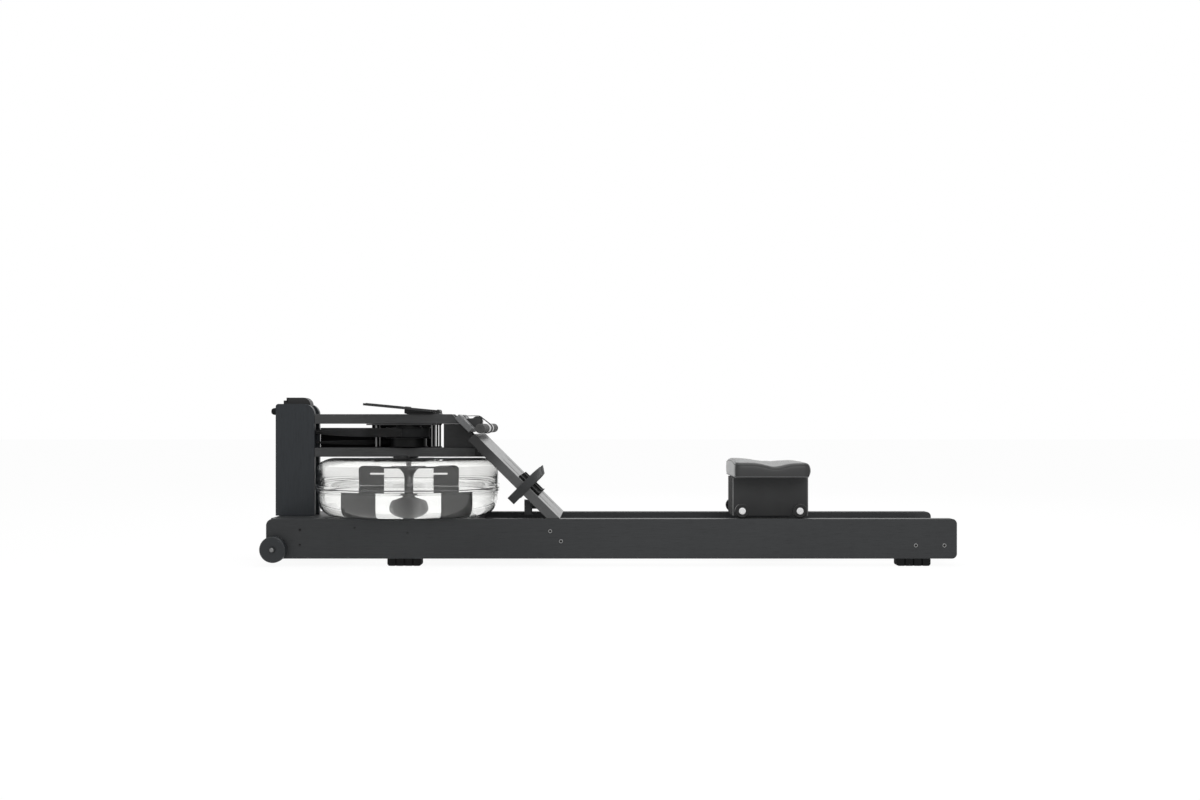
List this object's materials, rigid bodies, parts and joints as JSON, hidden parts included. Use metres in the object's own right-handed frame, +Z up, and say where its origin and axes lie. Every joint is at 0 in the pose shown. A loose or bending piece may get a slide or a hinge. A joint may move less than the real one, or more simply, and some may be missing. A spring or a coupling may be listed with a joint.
{
  "type": "water rowing machine",
  "caption": "Water rowing machine: clear tank and paddle on long rails, a strap-drawn handle, a slanted foot board and a seat that rolls.",
  "frame": {"origin": "middle of the footprint, on the floor", "axes": "+X to the rear, +Y to the rower's right (away from the camera), +Z up"},
  "size_m": [2.1, 0.571, 0.511],
  "materials": {
    "rail": "black stained wood, satin",
    "column": "black stained wood, satin, slightly cool",
    "arm": "black stained wood, satin",
    "black_plastic": "moulded, fine grain",
    "grey_plastic": "moulded, smooth",
    "rubber": "matt",
    "dark_steel": "black powder coat",
    "webbing": "woven polyester webbing",
    "clear": "clear polycarbonate",
    "leather": "grained, soft",
    "light_sleeve": "satin"
  },
  "bodies": {
    "frame": {"rail_left": "rail", "rail_right": "rail", "front_cross_board": "rail", "tank_cross_board": "rail", "rear_cross_board": "rail", "foot_front_left": "rubber", "foot_front_right": "rubber", "foot_rear_left": "rubber", "foot_rear_right": "rubber", "column_board_left": "column", "column_board_right": "column", "column_front_panel": "column", "pulley_cover": "black_plastic", "low_pulley_bracket": "dark_steel", "upper_arm_left": "arm", "upper_arm_right": "arm", "lower_arm_left": "arm", "lower_arm_right": "arm", "side_panel_left": "column", "side_panel_right": "column", "drum_top_plate": "dark_steel", "belt_guard": "black_plastic", "tank_shell_upper": "clear", "tank_shell_lower": "clear", "tank_seal": "rubber", "tank_fill_plug": "black_plastic", "bearing_housing": "black_plastic", "handle_rest_board": "arm", "roller_bracket": "dark_steel", "strap_run": "webbing", "recoil_strap": "webbing", "foot_board": "arm", "foot_strap_left": "webbing", "foot_strap_right": "webbing", "foot_board_bracket": "black_plastic", "monitor_bracket": "black_plastic"},
    "transport_wheel_left": {"transport_wheel_left": "rubber"},
    "transport_wheel_right": {"transport_wheel_right": "rubber"},
    "strap_pulley": {"strap_pulley": "grey_plastic"},
    "recoil_pulley": {"recoil_pulley": "grey_plastic"},
    "low_pulley": {"low_pulley": "grey_plastic"},
    "guide_roller": {"guide_roller": "black_plastic"},
    "drum": {"strap_drum": "black_plastic", "strap_wound": "webbing"},
    "paddle": {"paddle": "grey_plastic"},
    "handle": {"handle_bar": "light_sleeve", "handle_grip_left": "rubber", "handle_grip_right": "rubber", "strap_pull": "webbing"},
    "heel_rest_left": {"heel_rest_left": "black_plastic"},
    "heel_rest_right": {"heel_rest_right": "black_plastic"},
    "monitor": {"monitor_case": "black_plastic"},
    "monitor_button_1": {"monitor_button_1": "grey_plastic"},
    "monitor_button_2": {"monitor_button_2": "grey_plastic"},
    "seat": {"seat_cushion": "leather", "seat_carriage": "dark_steel"},
    "seat_wheel_front_left": {"seat_wheel_front_left": "black_plastic"},
    "seat_wheel_front_right": {"seat_wheel_front_right": "black_plastic"},
    "seat_wheel_rear_left": {"seat_wheel_rear_left": "black_plastic"},
    "seat_wheel_rear_right": {"seat_wheel_rear_right": "black_plastic"}
  },
  "joints": [
    {"name": "transport_spin_left", "type": "hinge", "parent": "frame", "child": "transport_wheel_left", "pos_m": [-1.01, -0.189, 0.051], "axis": [0, 1, 0], "continuous": true},
    {"name": "transport_spin_right", "type": "hinge", "parent": "frame", "child": "transport_wheel_right", "pos_m": [-1.01, 0.189, 0.051], "axis": [0, 1, 0], "continuous": true},
    {"name": "handle_pull", "type": "slide", "parent": "frame", "child": "handle", "axis": [0.9945, 0, 0.1045], "range_m": [0, 1.2], "stiffness_N_per_m": 8, "springref_m": -0.6, "deforming": ["strap_pull"]},
    {"name": "strap_pulley_spin", "type": "hinge", "parent": "frame", "child": "strap_pulley", "pos_m": [-0.978, 0, 0.425], "axis": [0, 1, 0], "continuous": true},
    {"name": "recoil_pulley_spin", "type": "hinge", "parent": "frame", "child": "recoil_pulley", "pos_m": [-0.978, 0, 0.35], "axis": [0, 1, 0], "continuous": true},
    {"name": "low_pulley_spin", "type": "hinge", "parent": "frame", "child": "low_pulley", "pos_m": [-0.978, 0, 0.086], "axis": [0, 1, 0], "continuous": true},
    {"name": "guide_roller_spin", "type": "hinge", "parent": "frame", "child": "guide_roller", "pos_m": [-0.41363, 0, 0.43622], "axis": [0, 1, 0], "continuous": true},
    {"name": "drum_spin", "type": "hinge", "parent": "frame", "child": "drum", "pos_m": [-0.6305, 0, 0.4], "axis": [0, 0, 1], "continuous": true},
    {"name": "paddle_spin", "type": "hinge", "parent": "frame", "child": "paddle", "pos_m": [-0.6305, 0, 0.3], "axis": [0, 0, 1], "continuous": true},
    {"name": "heel_slide_left", "type": "slide", "parent": "frame", "child": "heel_rest_left", "axis": [0.7096, 0, -0.7046], "range_m": [-0.06, 0.045]},
    {"name": "heel_slide_right", "type": "slide", "parent": "frame", "child": "heel_rest_right", "axis": [0.7096, 0, -0.7046], "range_m": [-0.06, 0.045]},
    {"name": "monitor_tilt", "type": "hinge", "parent": "frame", "child": "monitor", "pos_m": [-0.535, 0, 0.4678], "axis": [0, 1, 0], "range_deg": [0, 60]},
    {"name": "button_press_1", "type": "slide", "parent": "monitor", "child": "monitor_button_1", "axis": [-0.0958, 0, -0.9954], "range_m": [0, 0.001], "stiffness_N_per_m": 300, "springref_m": -0.0005},
    {"name": "button_press_2", "type": "slide", "parent": "monitor", "child": "monitor_button_2", "axis": [-0.0958, 0, -0.9954], "range_m": [0, 0.001], "stiffness_N_per_m": 300, "springref_m": -0.0005},
    {"name": "seat_roll", "type": "slide", "parent": "frame", "child": "seat", "axis": [1, 0, 0], "range_m": [-0.5, 0.41]},
    {"name": "seat_wheel_spin_front_left", "type": "hinge", "parent": "seat", "child": "seat_wheel_front_left", "pos_m": [0.4042, -0.15, 0.1643], "axis": [0, 1, 0], "continuous": true},
    {"name": "seat_wheel_spin_front_right", "type": "hinge", "parent": "seat", "child": "seat_wheel_front_right", "pos_m": [0.4042, 0.15, 0.1643], "axis": [0, 1, 0], "continuous": true},
    {"name": "seat_wheel_spin_rear_left", "type": "hinge", "parent": "seat", "child": "seat_wheel_rear_left", "pos_m": [0.5792, -0.15, 0.1643], "axis": [0, 1, 0], "continuous": true},
    {"name": "seat_wheel_spin_rear_right", "type": "hinge", "parent": "seat", "child": "seat_wheel_rear_right", "pos_m": [0.5792, 0.15, 0.1643], "axis": [0, 1, 0], "continuous": true}
  ],
  "couplings": [
    {"joint": "strap_pulley_spin", "follows": "handle_pull", "rad_per_m": 46.512},
    {"joint": "guide_roller_spin", "follows": "handle_pull", "rad_per_m": 55.556},
    {"joint": "drum_spin", "follows": "handle_pull", "rad_per_m": -14.815},
    {"joint": "paddle_spin", "follows": "handle_pull", "rad_per_m": -14.815},
    {"joint": "recoil_pulley_spin", "follows": "handle_pull", "rad_per_m": 43.685},
    {"joint": "low_pulley_spin", "follows": "handle_pull", "rad_per_m": 43.685},
    {"joint": "seat_wheel_spin_front_left", "follows": "seat_roll", "rad_per_m": 45.455},
    {"joint": "seat_wheel_spin_front_right", "follows": "seat_roll", "rad_per_m": 45.455},
    {"joint": "seat_wheel_spin_rear_left", "follows": "seat_roll", "rad_per_m": 45.455},
    {"joint": "seat_wheel_spin_rear_right", "follows": "seat_roll", "rad_per_m": 45.455}
  ]
}
